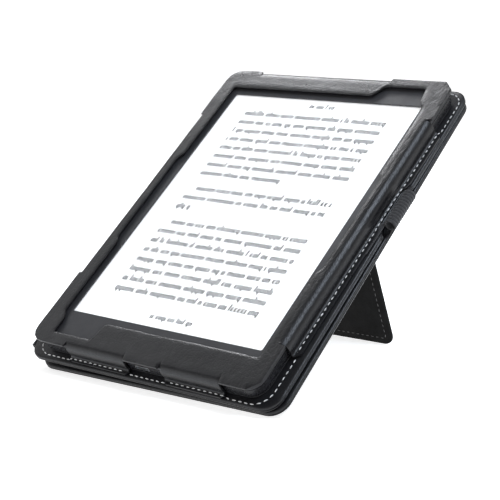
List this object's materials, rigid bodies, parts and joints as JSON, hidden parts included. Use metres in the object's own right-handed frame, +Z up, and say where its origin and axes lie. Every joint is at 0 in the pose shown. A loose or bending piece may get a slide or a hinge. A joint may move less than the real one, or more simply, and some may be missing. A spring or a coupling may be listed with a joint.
{
  "type": "e-reader",
  "caption": "E-reader in a black leather folio, standing tilted back on the cover's folding kickstand, with the cover turned behind it and an elastic pen loop at one side.",
  "frame": {"origin": "centre of the bounding box at table level", "axes": "+Z up, -Y the way the screen faces, +X to the right as the screen is read"},
  "size_m": [0.1588, 0.1694, 0.1447],
  "materials": {
    "leather": "fine-grained black polyurethane leather, satin",
    "lining": "matt brushed microfibre",
    "elastic": "ribbed woven elastic, matt",
    "bezel": "fine matt texture",
    "shell": "satin soft-touch",
    "display": "matt paper-like electrophoretic film",
    "light_guide": "clear, etched against glare",
    "board": "solder mask over glass-fibre laminate",
    "metal": "satin",
    "magnesium": "cast, matt",
    "battery": "wrapped lithium-polymer pouch",
    "film": "polyimide film",
    "lead": "flat wire bundle"
  },
  "bodies": {
    "holder": {"front_bezel": "bezel", "light_guide": "light_guide", "display_panel": "display", "front_light_strip": "film", "light_sensor": "board", "mid_frame": "magnesium", "main_board": "board", "board_screw_1": "metal", "board_screw_2": "metal", "board_screw_3": "metal", "board_screw_4": "metal", "processor_shield": "metal", "radio_shield": "metal", "battery": "battery", "battery_lead": "lead", "display_flex": "film", "wifi_antenna": "film", "rear_cover": "shell", "usb_port": "metal", "power_switch": "metal", "holder_frame": "leather", "holder_lining": "lining", "holder_panel": "leather", "pen_loop": "elastic"},
    "spine": {"spine_strip": "leather"},
    "cover": {"cover_panel": "leather", "cover_lining": "lining", "sleep_magnet_1": "metal", "sleep_magnet_2": "metal", "stand_hinge_strip": "leather"},
    "kickstand": {"kickstand_flap": "leather"},
    "button": {"power_button": "shell"}
  },
  "joints": [
    {"name": "spine_fold", "type": "hinge", "parent": "holder", "child": "spine", "pos_m": [-0.07888, -0.00295, 0.07367], "axis": [0, 0.7641, 0.6451], "range_deg": [0, 191.28]},
    {"name": "cover_fold", "type": "hinge", "parent": "spine", "child": "cover", "pos_m": [-0.07711, 0.00386, 0.06561], "axis": [0, 0.7641, 0.6451], "range_deg": [0, 170.52]},
    {"name": "kickstand_fold", "type": "hinge", "parent": "cover", "child": "kickstand", "pos_m": [-0.00067, 0.0431, 0.09664], "axis": [1, 0, 0], "range_deg": [-72.8, 0]},
    {"name": "power_press", "type": "slide", "parent": "holder", "child": "button", "axis": [0, -0.7641, -0.6451], "range_m": [0, 0.0005], "stiffness_N_per_m": 800}
  ],
  "couplings": [
    {"joint": "spine_fold", "follows": "cover_fold", "ratio": 1.1217},
    {"joint": "kickstand_fold", "follows": "cover_fold", "ratio": -0.4269}
  ]
}
